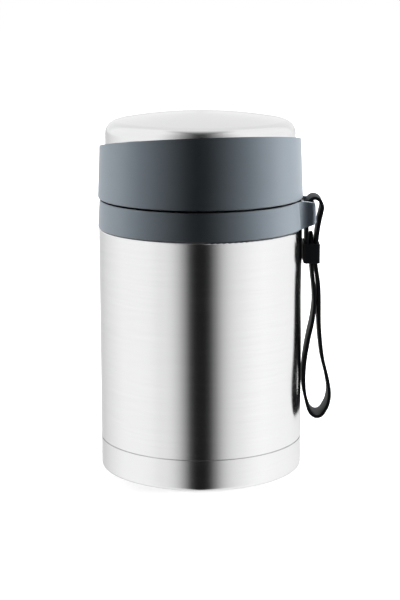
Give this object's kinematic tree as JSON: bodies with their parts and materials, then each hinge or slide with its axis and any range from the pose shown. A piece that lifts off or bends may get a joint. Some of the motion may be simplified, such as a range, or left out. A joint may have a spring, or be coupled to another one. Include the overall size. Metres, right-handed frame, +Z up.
{
  "type": "insulated food jar",
  "caption": "Double-walled steel food jar with a screw-on lid that serves as a bowl, a screw-in vented stopper, and a hanging carrying strap on a collar lug.",
  "frame": {"origin": "centre of the flat base, on the surface the jar stands on", "axes": "+Z up along the jar's axis, +X towards the lug and strap, -Y towards the viewer of the jar's front"},
  "size_m": [0.1176, 0.1028, 0.1803],
  "materials": {
    "body_steel": "fine vertical-grain brushed stainless steel",
    "inner_steel": "satin stainless steel",
    "cap_steel": "satin stainless steel",
    "solder_glass": "fused solder glass",
    "getter_metal": "pressed and sintered",
    "slate_plastic": "fine satin moulded polypropylene",
    "dark_plastic": "satin moulded polypropylene",
    "button_plastic": "satin moulded polypropylene",
    "strap_rubber": "matt moulded silicone rubber",
    "seal_rubber": "translucent white silicone rubber",
    "foam": "expanded polystyrene",
    "spring_steel": "drawn stainless spring wire"
  },
  "bodies": {
    "jar": {"outer_shell": "body_steel", "inner_vessel": "inner_steel", "base_plate": "inner_steel", "base_cup": "body_steel", "vacuum_seal": "solder_glass", "getter": "getter_metal", "neck_ring": "dark_plastic", "neck_seal": "seal_rubber", "collar": "slate_plastic", "strap": "strap_rubber"},
    "keeper": {"strap_keeper": "strap_rubber"},
    "stopper_seal": {"stopper_gasket": "seal_rubber"},
    "stopper": {"stopper_body": "dark_plastic", "stopper_foam": "foam", "stopper_cover": "dark_plastic", "vent_spring": "spring_steel"},
    "vent": {"vent_button": "button_plastic", "vent_stem": "spring_steel", "vent_seal": "seal_rubber", "vent_clip": "spring_steel"},
    "lid_seal": {"lid_gasket": "seal_rubber"},
    "lid": {"lid_band": "slate_plastic", "lid_dome": "cap_steel", "lid_bowl": "dark_plastic", "lid_foam": "foam"}
  },
  "joints": [
    {"name": "stopper_lift", "type": "slide", "parent": "jar", "child": "stopper_seal", "axis": [0, 0, 1], "range_m": [0, 0.036]},
    {"name": "stopper_turn", "type": "hinge", "parent": "stopper_seal", "child": "stopper", "pos_m": [0, 0, 0.152], "axis": [0, 0, 1], "range_deg": [0, 1080]},
    {"name": "lid_lift", "type": "slide", "parent": "stopper", "child": "lid_seal", "axis": [0, 0, 1], "range_m": [0, 0.036]},
    {"name": "lid_turn", "type": "hinge", "parent": "lid_seal", "child": "lid", "pos_m": [0, 0, 0.148], "axis": [0, 0, 1], "range_deg": [0, 1080]},
    {"name": "vent_press", "type": "slide", "parent": "stopper", "child": "vent", "axis": [0, 0, -1], "range_m": [0, 0.0025], "stiffness_N_per_m": 400, "springref_m": -0.003, "deforming": ["vent_spring"]},
    {"name": "keeper_slide", "type": "slide", "parent": "jar", "child": "keeper", "axis": [0.08, 0, -0.9968], "range_m": [0, 0.005]}
  ],
  "couplings": [
    {"joint": "stopper_turn", "follows": "stopper_lift", "rad_per_m": 523.6},
    {"joint": "lid_turn", "follows": "lid_lift", "rad_per_m": 523.6}
  ]
}
